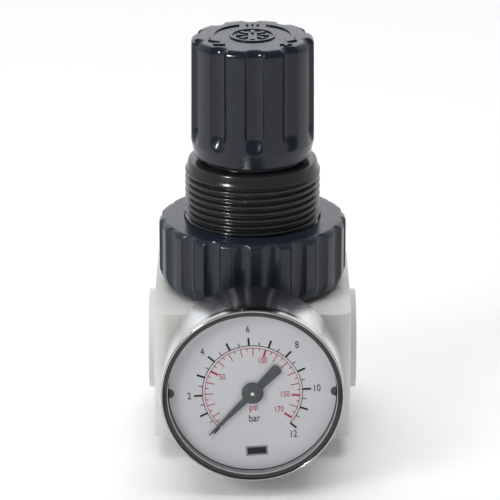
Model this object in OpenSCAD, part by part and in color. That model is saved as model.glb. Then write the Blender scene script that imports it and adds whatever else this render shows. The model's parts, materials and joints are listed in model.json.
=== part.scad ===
// Air pressure regulator with a lift-to-turn knob, a mounting ring and a round gauge.
// Millimetres, +Z up along the knob's axis, gauge towards -Y, origin at the middle of the bottom plug's face.

/* [Body] */
// Width and depth of the square body
body_w = 55; // [54:0.5:58]
// Height of the body
body_h = 37.3; // [37:0.1:40]
// Radius of the body's upright corners
corner_r = 4; // [1:0.5:6]
// How far the bottom plug stands out below the body
plug_h = 6; // [4:0.5:8]

/* [Ports] */
// Height of the port axis above the body's underside
port_h = 19.7; // [19.5:0.1:20]
// Minor diameter of the port thread, for G 3/8
port_bore_d = 14.95; // [14.5:0.05:15.5]
// Depth of the port thread from the boss face
port_depth = 12; // [10:0.5:13]
// Diameter of the round port boss
boss_d = 28.2; // [24:0.1:30]
// How far a boss stands out from the body
boss_out = 1.9; // [1:0.1:3]

/* [Bonnet and ring] */
// Outer diameter of the panel thread
panel_d = 38; // [37:0.5:39]
// Height of the bonnet's flat shoulder above the body's underside
shoulder_h = 74.2; // [73.5:0.1:75]
// Outer diameter of the mounting ring
ring_d = 52.9; // [50:0.1:54]
// Height of the mounting ring
ring_h = 19.8; // [16:0.1:20]
// Number of grip flutes round the mounting ring
ring_flutes = 20; // [12:1:24]

/* [Knob] */
// Height of the knob's top above the body's underside
knob_top_h = 109.7; // [108:0.1:112]
// Height of the knob's lower edge above the body's underside
knob_base_h = 75.65; // [75.5:0.05:76.5]
// Largest diameter of the knob
knob_d = 34.6; // [34:0.1:36]
// Number of grip flutes round the knob
knob_flutes = 10; // [6:1:12]

/* [Gauge] */
// Height of the gauge axis above the body's underside
gauge_h = 23.7; // [23.5:0.1:24]
// Diameter of the gauge's front rim
gauge_d = 50; // [49.5:0.5:51]
// Distance from the knob axis to the gauge's front
gauge_front = 54; // [54:0.5:56]
// Angle by which the screwed-in gauge stands off square
gauge_tilt = 4; // [0:1:10]

/* [Range spring] */
// Pitch of the adjusting screw's thread
screw_pitch = 1.5; // [1:0.25:1.5]
// Number of turns of the range spring
range_turns = 4.75; // [4:0.25:5]

/* [Hidden] */
$fn = 72;

// Clearances: between fixed threads, between running parts, and the cut beyond a face
thread_gap = 0.06;
run_gap = 0.08;
over = 0.5;

// Body cavities, heights above the body's underside
ledge_h = 29.5;
chamber_h = 21.5;
seat_web_h = 20;
seat_lip_h = 19.2;
orifice_r = 4.5;
lower_chamber_r = 11;
upper_chamber_r = 12;
plug_bore_r = 15;
plug_bore_h = 11;
bonnet_bore_r = 21;
side_port_r = 4.9;
side_port_depth = 8.5;

// Diaphragm stack
rubber_t = 1.5;
rim_top_h = ledge_h + rubber_t;
dome_h = rim_top_h + rubber_t;
plate_t = 1.5;
spring_seat_h = dome_h + plate_t;
vent_r = 0.8;

// Adjusting screw and nut
nut_h = 59.2;
nut_t = 7;
flange_h = 66.7;
washer_h = 69.5;
ceiling_h = 70.5;
screw_r = 5;
shank_r = 5.5;
hex_af = 9;
hex_top_h = 100;
clip_t = 1;

// Poppet
poppet_h = 14.6;
poppet_r = 7.5;
guide_r = 2.9;
guide_h = 3;
stem_r = 1.5;
stem_top_h = 28.75;
seal_top_h = seat_lip_h - 0.05;

// Gauge, distances forward of the knob axis
face_y = body_w / 2;
case_back = 32;
case_wall = 0.9;
rim_depth = 4;
dial_y = 50.3;
plate_y = 38;
plate_gap = 4.5;
gear_module = 0.4;
pinion_teeth = 8;
sector_teeth = 64;
pinion_r = gear_module * pinion_teeth / 2;
sector_r = gear_module * sector_teeth / 2;
pivot_y = -(pinion_r + sector_r);
tube_r = 19;

// Moves the children up from the body's underside to the part's origin
module lift() { translate([0, 0, plug_h]) children(); }

// Turns the children so that their Z points out of the gauge's face and their Y points up
module gauge_frame() { lift() translate([0, 0, gauge_h]) rotate([90, 0, 0]) rotate(gauge_tilt) children(); }

// Cylinder from one height to another
module rod(r, z1, z2) { translate([0, 0, z1]) cylinder(r = r, h = z2 - z1); }

// Ring with a round hole, from one height to another
module tube(r_out, r_in, z1, z2) {
    difference() {
        rod(r_out, z1, z2);
        rod(r_in, z1 - over, z2 + over);
    }
}

// Hexagonal bar measured across its flats
module hex_bar(af, z1, z2) { translate([0, 0, z1]) cylinder(r = af / sqrt(3), h = z2 - z1, $fn = 6); }

// Closed ring of round section
module o_ring(r, section) { rotate_extrude() translate([r, 0]) circle(r = section, $fn = 32); }

// Square prism with rounded upright corners
module rounded_block(w, h, r) {
    side = w / 2 - r;
    translate([-w / 2, -side, 0]) cube([w, 2 * side, h]);
    translate([-side, -w / 2, 0]) cube([2 * side, w, h]);
    for (x = [-side, side], y = [-side, side]) translate([x, y, 0]) cylinder(r = r, h = h);
}

// Points round a wire's section, whose centre is at c = [distance from Z, height] in the half-plane at angle
function ring_points(c, angle, w, sides) = [for (j = [0:sides - 1])
    let (b = 360 * j / sides)
    [(c[0] + w * cos(b)) * cos(angle), (c[0] + w * cos(b)) * sin(angle), c[1] + w * sin(b)]];

// Wire wound round the Z axis; radius runs from r1 to r2 while the height runs from z1 to z2
module wire_coil(r1, r2, z1, z2, wire_r, turns, steps, sides) {
    count = ceil(turns * steps);
    points = [for (i = [0:count])
        let (t = i / count)
        each ring_points([r1 + (r2 - r1) * t, z1 + (z2 - z1) * t], 360 * turns * t, wire_r, sides)];
    skin = [for (i = [0:count - 1], j = [0:sides - 1])
        let (k = (j + 1) % sides)
        [i * sides + j, (i + 1) * sides + j, (i + 1) * sides + k, i * sides + k]];
    first = [for (j = [0:sides - 1]) j];
    last = [for (j = [sides - 1:-1:0]) count * sides + j];
    polyhedron(points = points, faces = concat(skin, [first], [last]), convexity = 10);
}

// Round passages side by side, from x1 to x2 at one height
module passage(x1, x2, h, r) {
    for (y = [-3, 0, 3]) translate([x1, y, h]) rotate([0, 90, 0]) cylinder(r = r, h = x2 - x1);
}

// Die-cast body with the two ports, the gauge holes and the valve chambers
module body() {
    lift() color([0.78, 0.79, 0.77]) {
        difference() {
            union() {
                difference() {
                    union() {
                        rounded_block(body_w, body_h, corner_r);
                        translate([-face_y - boss_out, 0, port_h]) rotate([0, 90, 0])
                            cylinder(d = boss_d, h = body_w + 2 * boss_out);
                    }
                    rod(lower_chamber_r, plug_bore_h - over, seat_web_h);
                }
                tube(orifice_r + 1.1, orifice_r, seat_lip_h, seat_web_h);
            }
            rod(plug_bore_r, -over, plug_bore_h);
            rod(orifice_r, seat_web_h - over, chamber_h + over);
            rod(upper_chamber_r, chamber_h, ledge_h + over);
            rod(bonnet_bore_r, ledge_h, body_h + over);
            port_bores();
            side_bore(1);
            side_bore(-1);
        }
    }
}

// The two threaded ports with their passages below and above the valve seat
module port_bores() {
    mouth = face_y + boss_out;
    for (side = [-1, 1]) translate([side * mouth, 0, port_h]) rotate([0, -90 * side, 0])
        translate([0, 0, -over]) cylinder(d = port_bore_d, h = port_depth + over);
    passage(-mouth + port_depth - over, -lower_chamber_r + 3, port_h - 3.5, 3.2);
    passage(upper_chamber_r - 3, mouth - port_depth + over, port_h + 4.7, 2.75);
}

// Gauge hole from the front or rear face into the upper chamber
module side_bore(side) {
    translate([0, side * (face_y + over), gauge_h]) rotate([90 * side, 0, 0])
        cylinder(r = side_port_r, h = side_port_depth + over);
    translate([0, side * face_y, gauge_h]) rotate([90 * side, 0, 0]) cylinder(r = 2, h = face_y - 8);
}

// Plastic bonnet: a threaded foot in the body, the panel thread, a flat shoulder and a neck for the knob
module bonnet() {
    foot_r = bonnet_bore_r - thread_gap;
    panel_r = panel_d / 2;
    hidden_r = panel_r - 0.3;
    free_h = body_h + ring_h + 0.2;
    wall_r = 14.5;
    neck_r = 14;
    neck_top_h = shoulder_h + 8.8;
    neck_bore_r = 11;
    screw_hole_r = shank_r + run_gap;
    lift() color([0.17, 0.18, 0.2]) difference() {
        rotate_extrude() polygon([
            [wall_r, rim_top_h], [foot_r, rim_top_h], [foot_r, body_h],
            [hidden_r, body_h], [hidden_r, free_h], [panel_r, free_h],
            [panel_r, shoulder_h - 2.8], [panel_r - 0.6, shoulder_h - 2.2], [panel_r - 1.1, shoulder_h],
            [neck_r, shoulder_h], [neck_r, shoulder_h + 2.4], [neck_r - 0.4, shoulder_h + 2.8],
            [neck_r - 0.4, shoulder_h + 3.4], [neck_r, shoulder_h + 3.8],
            [neck_r, neck_top_h - 0.8], [neck_r - 0.8, neck_top_h], [neck_bore_r, neck_top_h],
            [neck_bore_r, shoulder_h], [screw_hole_r, shoulder_h], [screw_hole_r, ceiling_h],
            [wall_r, ceiling_h]]);
        // Two grooves inside that keep the spring nut from turning
        for (a = [0, 180]) rotate(a) translate([wall_r - 1, -3.1, rim_top_h + 8]) cube([2.7, 6.2, 30]);
    }
}

// Fluted plastic ring nut that clamps a panel or bracket
module mounting_ring() {
    r = ring_d / 2;
    bore_r = panel_d / 2 + thread_gap;
    flute_r = 3.2;
    flute_depth = 1.25;
    first_flute = 11;
    lift() color([0.18, 0.19, 0.21]) translate([0, 0, body_h]) difference() {
        rotate_extrude() polygon([
            [bore_r, 0], [r - 3.2, 0], [r - 1, 1.6], [r, 4],
            [r, ring_h - 2], [r - 0.6, ring_h - 0.6], [r - 2, ring_h], [bore_r, ring_h]]);
        for (i = [0:ring_flutes - 1]) rotate(first_flute - 90 + i * 360 / ring_flutes)
            translate([r + flute_r - flute_depth, 0, -over]) cylinder(r = flute_r, h = ring_h + 2 * over);
    }
}

// Hand knob: a fluted shell round a hub that slides on the screw's hexagon
module knob() {
    r = knob_d / 2;
    crease_h = 80.4;
    shell_h = 106.5;
    step_h = shoulder_h + 10.2;
    hub_h = shoulder_h + 4.8;
    rib_h = 92;
    first_flute = 2;
    lift() color([0.18, 0.19, 0.21]) difference() {
        union() {
            difference() {
                rotate_extrude() polygon([
                    [0, knob_base_h], [r - 1.1, knob_base_h], [r - 0.9, knob_base_h + 0.4],
                    [r, crease_h], [r - 0.5, knob_top_h - 1.4], [r - 0.9, knob_top_h - 0.4],
                    [r - 1.6, knob_top_h], [0, knob_top_h]]);
                rod(14.6, knob_base_h - over, step_h);
                rod(13.1, step_h - over, shell_h);
            }
            rod(8, hub_h, shell_h + over);
            for (a = [0:72:359]) rotate(a) translate([7.5, -0.8, rib_h])
                cube([6.2, 1.6, shell_h - rib_h + over]);
        }
        hex_bar(hex_af + 2 * run_gap, hub_h - over, hex_top_h + 5);
        for (i = [0:knob_flutes - 1]) rotate(first_flute - 90 + i * 360 / knob_flutes) knob_flute(r);
    }
}

// One grip flute of the knob, with a round lower end
module knob_flute(r) {
    flute_r = 3.4;
    sink = 1.75;
    foot_h = 84.2;
    translate([r + flute_r - sink, 0, foot_h]) {
        sphere(r = flute_r);
        cylinder(r = flute_r, h = knob_top_h - foot_h + over);
    }
}

// Adjusting screw: thread below, thrust flange, plain shank, clip groove and a long hexagon for the knob
module adjusting_screw() {
    foot_h = 49;
    chamfer = screw_pitch / 2;
    lift() color([0.75, 0.75, 0.77]) difference() {
        union() {
            rotate_extrude() polygon([
                [0, foot_h], [screw_r - chamfer, foot_h], [screw_r, foot_h + chamfer],
                [screw_r, flange_h], [0, flange_h]]);
            rod(8, flange_h, washer_h);
            rod(shank_r, washer_h, shoulder_h + 2.4);
            hex_bar(hex_af, shoulder_h + 2.4, hex_top_h);
        }
        tube(shank_r + over, shank_r - 0.7, shoulder_h + 0.1, shoulder_h + 0.1 + clip_t + 0.1);
    }
}

// Washer that takes the spring's push below the bonnet's ceiling
module thrust_washer() {
    lift() color([0.8, 0.7, 0.45]) tube(8.5, shank_r + run_gap, washer_h, ceiling_h - 0.02);
}

// Open clip in the screw's groove
module screw_clip() {
    lift() color([0.35, 0.36, 0.38]) difference() {
        tube(8, shank_r - 0.6, shoulder_h + 0.14, shoulder_h + 0.14 + clip_t);
        translate([0, -1.6, shoulder_h]) cube([10, 3.2, 3]);
    }
}

// Upper spring seat that climbs the screw, with two ears in the bonnet's grooves
module spring_nut() {
    lift() color([0.82, 0.66, 0.35]) difference() {
        union() {
            rod(13.4, nut_h, nut_h + nut_t);
            for (a = [0, 180]) rotate(a) translate([12, -2.8, nut_h]) cube([2.9, 5.6, nut_t]);
        }
        rod(screw_r + run_gap, nut_h - over, nut_h + nut_t + over);
    }
}

// Main spring between the diaphragm plate and the spring nut
module range_spring() {
    wire = 1.2;
    lift() color([0.55, 0.56, 0.58])
        wire_coil(10.8, 10.8, spring_seat_h + wire, nut_h - wire, wire, range_turns, 30, 10);
}

// Dished plate that carries the range spring on the diaphragm
module diaphragm_plate() {
    lift() color([0.75, 0.76, 0.78]) difference() {
        union() {
            rod(12.8, dome_h, spring_seat_h);
            rod(8.5, spring_seat_h - over, spring_seat_h + 2);
        }
        rod(4.05, dome_h - over, spring_seat_h + 3);
    }
}

// Relief seat riveted through the diaphragm; its vent is shut by the tip of the valve stem
module relief_seat() {
    lift() color([0.82, 0.66, 0.35]) difference() {
        union() {
            rod(8.5, stem_top_h + 0.05, rim_top_h);
            rod(4, rim_top_h - over, spring_seat_h + 2);
            rod(4.9, spring_seat_h + 2, spring_seat_h + 2.8);
        }
        rod(vent_r, stem_top_h - over, spring_seat_h + 4);
    }
}

// Domed rubber diaphragm with a flat clamped rim
module diaphragm() {
    lift() color([0.12, 0.12, 0.12]) rotate_extrude() polygon([
        [4.1, rim_top_h], [10, rim_top_h], [13, ledge_h], [20.6, ledge_h],
        [20.6, rim_top_h], [13.8, rim_top_h], [10.8, dome_h], [4.1, dome_h]]);
}

// Steel pin between the poppet and the relief seat
module valve_stem() { lift() color([0.8, 0.8, 0.82]) rod(stem_r, 12.5, stem_top_h); }

// Valve poppet with a cup for its seal and a guide that runs in the bottom plug
module valve_poppet() {
    lift() color([0.82, 0.66, 0.35]) difference() {
        union() {
            rod(guide_r, guide_h, poppet_h + over);
            rod(poppet_r, poppet_h, poppet_h + 3.6);
        }
        rod(stem_r + 0.02, 12.5, poppet_h + 4);
        rod(poppet_r - 0.65, poppet_h + 2.6, poppet_h + 4);
        tube(guide_r + over, guide_r - 0.75, 5.5, 6.5);
    }
}

// Rubber sealing disc in the poppet's cup
module valve_seal() {
    lift() color([0.1, 0.1, 0.1]) tube(poppet_r - 0.7, stem_r + 0.05, poppet_h + 2.6, seal_top_h);
}

// O-ring round the poppet's guide
module stem_o_ring() { lift() color([0.1, 0.1, 0.1]) translate([0, 0, 6]) o_ring(guide_r - 0.37, 0.38); }

// Light spring that shuts the valve
module valve_spring() {
    wire = 0.45;
    lift() color([0.6, 0.61, 0.63])
        wire_coil(5.9, 5.9, 3.5 + wire, poppet_h - wire, wire, 5.5, 24, 8);
}

// Screwed bottom plug with a gripped flange, a spring pocket and the poppet's guide bore
module bottom_plug() {
    top_h = 9;
    flange_r = 18;
    notch_r = 2;
    skirt_r = plug_bore_r - thread_gap;
    lift() color([0.17, 0.18, 0.2]) difference() {
        rotate_extrude() polygon([
            [0, -plug_h], [flange_r - 0.8, -plug_h], [flange_r, -plug_h + 0.8], [flange_r, 0],
            [skirt_r, 0], [skirt_r, top_h], [0, top_h]]);
        tube(10, 4.6, 3.5, top_h + over);
        rod(guide_r + run_gap, 1, top_h + over);
        for (a = [0:30:359]) rotate(a) translate([flange_r + 1.2, 0, -plug_h - over])
            cylinder(r = notch_r, h = plug_h);
    }
}

// O-ring between the bottom plug and the step in the body
module bottom_plug_o_ring() {
    lift() color([0.1, 0.1, 0.1]) translate([0, 0, plug_bore_h - 1]) o_ring(plug_bore_r - 1.05, 0.98);
}

// Plug in the unused rear gauge hole, with a hexagon socket
module rear_port_plug() {
    lift() color([0.72, 0.73, 0.75]) translate([0, face_y, gauge_h]) rotate([90, 0, 0]) difference() {
        union() {
            rod(side_port_r - thread_gap, 0, 7.5);
            rod(7.2, -3.6, -1);
            rod(side_port_r - thread_gap, -1 - over, over);
        }
        hex_bar(5, -3.6 - over, 2.5);
    }
}

// Sealing ring under the rear plug's head
module rear_plug_seal() {
    lift() color([0.1, 0.1, 0.1]) translate([0, face_y, gauge_h]) rotate([90, 0, 0])
        tube(7, side_port_r, -1, 0);
}

// Brass gauge connection: thread, hexagon, neck and the block that carries the tube and movement
module gauge_socket() {
    gauge_frame() color([0.82, 0.66, 0.35]) difference() {
        union() {
            rod(side_port_r - thread_gap, face_y - 8, face_y + 1 + over);
            hex_bar(14, face_y + 1, case_back);
            rod(5.5, case_back - over, case_back + 2);
            translate([-6, -6, case_back + 1]) cube([12, 12, plate_y - case_back - 1]);
            rotate(-55) translate([0, -2.5, case_back + 1]) cube([tube_r + 1.6, 5, 4.8]);
        }
        rod(1.2, face_y - 8 - over, case_back + 4);
    }
}

// Sealing ring between the gauge's hexagon and the body
module gauge_thread_seal() {
    gauge_frame() color([0.1, 0.1, 0.1]) tube(6.9, side_port_r, face_y, face_y + 1);
}

// Polished case with a stepped front rim and a hole for the connection
module gauge_case() {
    r = gauge_d / 2;
    barrel_r = r - 0.5;
    hole_r = 5.55;
    inner_r = barrel_r - case_wall;
    floor_y = case_back + case_wall;
    gauge_frame() color([0.75, 0.75, 0.76]) rotate_extrude() polygon([
        [hole_r, case_back], [barrel_r - 2, case_back], [barrel_r - 0.6, case_back + 0.6],
        [barrel_r, case_back + 2], [barrel_r, gauge_front - rim_depth], [r, gauge_front - rim_depth + 0.3],
        [r, gauge_front - 0.4], [r - 0.4, gauge_front], [r - 1.7, gauge_front], [r - 1.7, gauge_front - 3],
        [inner_r, gauge_front - 3.6], [inner_r, floor_y + 0.6], [inner_r - 1.2, floor_y], [hole_r, floor_y]]);
}

// Clear snap-in window with a skirt that holds the dial down
module gauge_window() {
    r = gauge_d / 2 - 1.8;
    back = gauge_front - 1.6;
    front = back + 1;
    skirt_y = dial_y + 0.6;
    gauge_frame() color([0.85, 0.88, 0.9, 0.3]) rotate_extrude() polygon([
        [0, back], [r - 1, back], [r - 1, skirt_y], [r - 0.3, skirt_y], [r - 0.3, back - 0.3], [r, back],
        [r, front - 0.4], [r - 0.5, front], [0, front]]);
}

// Dial plate with two half-round notches at its edge and a hole for the pointer's shaft
module gauge_dial() {
    r = gauge_d / 2 - 2.2;
    notch_turn = -3;
    gauge_frame() color([0.78, 0.78, 0.8]) difference() {
        rod(r, dial_y, dial_y + 0.5);
        rod(1.3, dial_y - over, dial_y + 1);
        rotate(notch_turn)
            for (side = [-1, 1]) translate([side * r, 0, 0]) rod(1.4, dial_y - over, dial_y + 1);
    }
}

// Pointer with its hub, resting on its stop just above the scale's zero
module gauge_pointer() {
    r = gauge_d / 2;
    rest_angle = 132.5;
    tip = 0.69 * r;
    tail = 0.42 * r;
    gauge_frame() rotate(rest_angle) color([0.3, 0.32, 0.33]) difference() {
        union() {
            translate([0, 0, dial_y + 1]) linear_extrude(0.5) polygon([
                [-1.2, 0], [-0.25, tip], [0.25, tip], [1.2, 0], [1.45, -tail], [-1.45, -tail]]);
            rod(0.119 * r, dial_y + 0.8, dial_y + 1.8);
        }
        rod(0.6, dial_y, dial_y + 1.45);
    }
}

// Gear disc with straight-flanked teeth, drawn round the origin
module gear_teeth(r, angles) {
    for (a = angles) rotate(a) polygon([
        [r - 0.45, 0.24], [r, 0.18], [r + 0.25, 0.09], [r + 0.25, -0.09], [r, -0.18], [r - 0.45, -0.24]]);
}

// Pointer shaft with its pinion
module pinion_shaft() {
    step = 360 / pinion_teeth;
    gauge_frame() color([0.8, 0.8, 0.82]) {
        rod(0.6, plate_y + 0.2, dial_y + 1.35);
        translate([0, 0, plate_y + 2.6]) linear_extrude(1.8) {
            circle(r = pinion_r - 0.4);
            gear_teeth(pinion_r, [for (i = [0:pinion_teeth - 1]) 270 + (i + 0.5) * step]);
        }
    }
}

// Outline shared by the two movement plates
module movement_outline() {
    translate([-5, pivot_y - 1]) square([10, 5 - pivot_y]);
    translate([-8, -3]) square([16, 7]);
}

// Positions of the pillars that hold the movement plates apart
pillar_points = [[-6.5, 2.5], [6.5, 2.5], [6.5, -1.5]];

// Rear movement plate with its two shaft holes
module movement_back_plate() {
    gauge_frame() color([0.82, 0.68, 0.38]) difference() {
        translate([0, 0, plate_y]) linear_extrude(1) movement_outline();
        rod(0.66, plate_y - over, plate_y + 1.5);
        translate([0, pivot_y, 0]) rod(0.86, plate_y - over, plate_y + 1.5);
    }
}

// Front movement plate with its shaft holes and the posts that carry the dial
module movement_front_plate() {
    front = plate_y + 1 + plate_gap;
    gauge_frame() color([0.82, 0.68, 0.38]) difference() {
        union() {
            translate([0, 0, front]) linear_extrude(1) movement_outline();
            for (x = [-6.5, 6.5]) translate([x, 0, 0]) rod(1.2, front + 0.5, dial_y);
        }
        rod(0.66, front - over, front + 1.5);
        translate([0, pivot_y, 0]) rod(0.86, front - over, front + 1.5);
    }
}

// Pillars between the movement plates
module movement_pillars() {
    gauge_frame() color([0.82, 0.68, 0.38])
        for (p = pillar_points) translate(p) rod(0.9, plate_y + 1, plate_y + 1 + plate_gap);
}

// Toothed sector with its shaft and the tail that the link pushes
module sector_gear() {
    step = 360 / sector_teeth;
    gauge_frame() translate([0, pivot_y, 0]) color([0.82, 0.68, 0.38]) {
        rod(0.8, plate_y + 0.2, plate_y + 1 + plate_gap + 0.8);
        translate([0, 0, plate_y + 3]) linear_extrude(1) {
            circle(r = 1.8);
            intersection() {
                circle(r = sector_r - 0.4);
                polygon([[0, -1.5], [-2.4, 15], [14, 15], [13.5, 8]]);
            }
            gear_teeth(sector_r, [for (i = [-1:7]) 90 - i * step]);
            rotate(190) translate([0, -0.8]) square([6.6, 1.6]);
        }
        rotate(190) translate([6, 0, 0]) rod(0.4, plate_y + 3.5, plate_y + 4.8);
    }
}

// Link from the tube's tip to the sector's tail
module movement_link() {
    tail = [6 * cos(190), pivot_y + 6 * sin(190)];
    span = 11.6;
    gauge_frame() translate([tail[0], tail[1], plate_y + 4.2]) rotate(145) color([0.8, 0.8, 0.82])
        linear_extrude(0.4) difference() {
            union() {
                circle(r = 1);
                translate([0, -0.5]) square([span, 1]);
                translate([span, 0]) circle(r = 1);
            }
            circle(r = 0.46);
        }
}

// Flat spiral spring round the pointer's shaft
module hairspring() {
    gauge_frame() color([0.5, 0.51, 0.55]) translate([0, 0, plate_y + 4.95])
        wire_coil(1, 3.6, 0, 0, 0.1, 4, 24, 4);
}

// Curved pressure tube, hollow and flattened
module bourdon_tube() {
    gauge_frame() color([0.82, 0.6, 0.35]) rotate(-52) translate([0, 0, plate_y + 2.3])
        rotate_extrude(angle = 250) difference() {
            translate([tube_r - 0.9, -2.4]) square([1.8, 4.8]);
            translate([tube_r - 0.5, -2]) square([1, 4]);
        }
}

// Closed end of the pressure tube
module tube_tip() {
    gauge_frame() color([0.82, 0.68, 0.38]) rotate(198) translate([tube_r - 1.3, 0, plate_y - 0.3])
        cube([2.6, 3.4, 4.4]);
}

body();
bonnet();
mounting_ring();
knob();
adjusting_screw();
thrust_washer();
screw_clip();
spring_nut();
range_spring();
diaphragm_plate();
relief_seat();
diaphragm();
valve_stem();
valve_poppet();
valve_seal();
stem_o_ring();
valve_spring();
bottom_plug();
bottom_plug_o_ring();
rear_port_plug();
rear_plug_seal();
gauge_socket();
gauge_thread_seal();
gauge_case();
gauge_window();
gauge_dial();
gauge_pointer();
pinion_shaft();
movement_back_plate();
movement_front_plate();
movement_pillars();
sector_gear();
movement_link();
hairspring();
bourdon_tube();
tube_tip();
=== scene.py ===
"""Looks for the air pressure regulator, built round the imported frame. Metres, +Z up, gauge towards -Y."""

import json
import math

import bmesh
import bpy
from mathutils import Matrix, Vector


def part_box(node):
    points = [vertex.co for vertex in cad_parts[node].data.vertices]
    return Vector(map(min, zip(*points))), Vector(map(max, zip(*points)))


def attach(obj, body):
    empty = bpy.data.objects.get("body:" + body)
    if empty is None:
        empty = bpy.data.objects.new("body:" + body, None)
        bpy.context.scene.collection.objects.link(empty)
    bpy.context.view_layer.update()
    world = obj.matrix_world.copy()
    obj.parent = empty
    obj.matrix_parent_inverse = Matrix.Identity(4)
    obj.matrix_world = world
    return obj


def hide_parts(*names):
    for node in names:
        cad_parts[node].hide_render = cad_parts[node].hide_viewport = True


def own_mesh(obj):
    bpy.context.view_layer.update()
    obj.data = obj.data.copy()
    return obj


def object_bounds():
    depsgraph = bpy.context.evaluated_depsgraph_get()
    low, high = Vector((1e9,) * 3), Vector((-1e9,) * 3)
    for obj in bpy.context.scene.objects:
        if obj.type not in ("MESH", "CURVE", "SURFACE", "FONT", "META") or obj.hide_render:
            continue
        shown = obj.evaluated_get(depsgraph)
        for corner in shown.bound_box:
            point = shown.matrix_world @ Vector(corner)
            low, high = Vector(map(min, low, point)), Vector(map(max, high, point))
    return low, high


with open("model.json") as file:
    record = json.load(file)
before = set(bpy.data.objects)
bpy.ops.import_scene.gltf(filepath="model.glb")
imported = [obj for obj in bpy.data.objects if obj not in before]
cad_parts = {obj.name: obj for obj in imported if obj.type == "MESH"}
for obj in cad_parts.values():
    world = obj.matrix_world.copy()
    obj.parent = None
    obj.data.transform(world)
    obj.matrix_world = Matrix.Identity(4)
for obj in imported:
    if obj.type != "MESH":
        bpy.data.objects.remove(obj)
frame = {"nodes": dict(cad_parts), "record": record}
cad_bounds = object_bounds()
nodes = frame["nodes"]

MM = 0.001
TAU = 2 * math.pi

# ---------------------------------------------------------------- places read from the frame

body_low, body_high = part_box("body")
BASE_Z = body_low.z / MM
BODY_TOP = body_high.z / MM
ring_low, ring_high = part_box("mounting_ring")
RING_R = (ring_high.y - ring_low.y) / 2 / MM
RING_Z1, RING_Z2 = ring_low.z / MM, ring_high.z / MM
knob_low, knob_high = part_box("knob")
KNOB_Z1, KNOB_Z2 = knob_low.z / MM, knob_high.z / MM
KNOB_R = (knob_high.y - knob_low.y) / 2 / MM
bonnet_low, bonnet_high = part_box("bonnet")
case_low, case_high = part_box("gauge_case")
CASE_R = (case_high.x - case_low.x) / 2 / MM
GAUGE_Z = (case_high.z + case_low.z) / 2 / MM
CASE_FRONT, CASE_BACK = -case_low.y / MM, -case_high.y / MM
DIAL_FRONT = -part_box("gauge_dial")[0].y / MM
PORTS = {m["name"]: m for m in frame["record"]["mounts"] if m["kind"] == "threaded_hole"}
PORT_Z = PORTS["inlet_port"]["pos_m"][2] / MM
PORT_R = PORTS["inlet_port"]["dims"]["r_mm"]
PORT_DEPTH = PORTS["inlet_port"]["dims"]["length_mm"]
PANEL_R = [m for m in frame["record"]["mounts"] if m["name"] == "panel_thread"][0]["dims"]["r_mm"]
GAUGE_TILT = math.radians(4)


# ---------------------------------------------------------------- materials

def add_node(tree, kind, inputs=None, **settings):
    """New node with its settings, and its inputs linked from sockets or set to values."""
    node = tree.nodes.new(kind)
    for key, value in settings.items():
        setattr(node, key, value)
    for key, value in (inputs or {}).items():
        if isinstance(value, bpy.types.NodeSocket):
            tree.links.new(value, node.inputs[key])
        else:
            node.inputs[key].default_value = value
    return node


class Nodes:
    """A material's node tree with short calls for the nodes used here."""

    def __init__(self, name):
        self.material = bpy.data.materials.new(name)
        self.material.use_nodes = True
        self.tree = self.material.node_tree
        self.shader = self.tree.nodes["Principled BSDF"]
        self.where = self.tree.nodes.new("ShaderNodeTexCoord").outputs["Object"]

    def add(self, kind, inputs=None, **settings):
        return add_node(self.tree, kind, inputs, **settings)

    def noise(self, scale, detail, rough=0.55):
        return self.add("ShaderNodeTexNoise", {"Vector": self.where, "Scale": scale, "Detail": detail,
                                               "Roughness": rough}).outputs["Fac"]

    def spread(self, value, low, high, to_low, to_high):
        return self.add("ShaderNodeMapRange", {0: value, 1: low, 2: high, 3: to_low, 4: to_high}).outputs[0]

    def blend(self, factor, first, second):
        node = self.add("ShaderNodeMix", data_type="RGBA")
        for slot, value in ((0, factor), (6, first), (7, second)):
            if isinstance(value, bpy.types.NodeSocket):
                self.tree.links.new(value, node.inputs[slot])
            else:
                node.inputs[slot].default_value = (*value, 1) if slot else value
        return node.outputs[2]

    def bump(self, height, distance, strength=1.0, below=None):
        inputs = {"Height": height, "Distance": distance, "Strength": strength}
        if below is not None:
            inputs["Normal"] = below
        return self.add("ShaderNodeBump", inputs).outputs[0]

    def set(self, **sockets):
        for key, value in sockets.items():
            name = key.replace("_", " ")
            if isinstance(value, bpy.types.NodeSocket):
                self.tree.links.new(value, self.shader.inputs[name])
            else:
                self.shader.inputs[name].default_value = value
        return self.material


def colour(rgb, scale):
    """The colour made darker or lighter."""
    return tuple(min(1.0, c * scale) for c in rgb)


def moulded_plastic(name, rgb, rough):
    """Moulded black plastic: fine grain, faint cloudiness, lighter rubbed edges."""
    n = Nodes(name)
    cloud = n.noise(60.0, 4.0)
    fine = n.noise(2600.0, 2.0)
    edge = n.spread(n.add("ShaderNodeNewGeometry").outputs["Pointiness"], 0.52, 0.62, 0.0, 1.0)
    tone = n.blend(n.spread(cloud, 0.3, 0.7, 0.0, 1.0), colour(rgb, 0.88), colour(rgb, 1.14))
    tone = n.blend(n.add("ShaderNodeMath", {0: edge, 1: 0.35}, operation="MULTIPLY").outputs[0],
                   tone, colour(rgb, 2.0))
    shine = n.spread(n.noise(220.0, 5.0), 0.3, 0.7, rough - 0.03, rough + 0.05)
    return n.set(Base_Color=tone, Roughness=shine, Normal=n.bump(fine, 0.00001, 0.4), Specular_IOR_Level=0.4)


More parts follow.
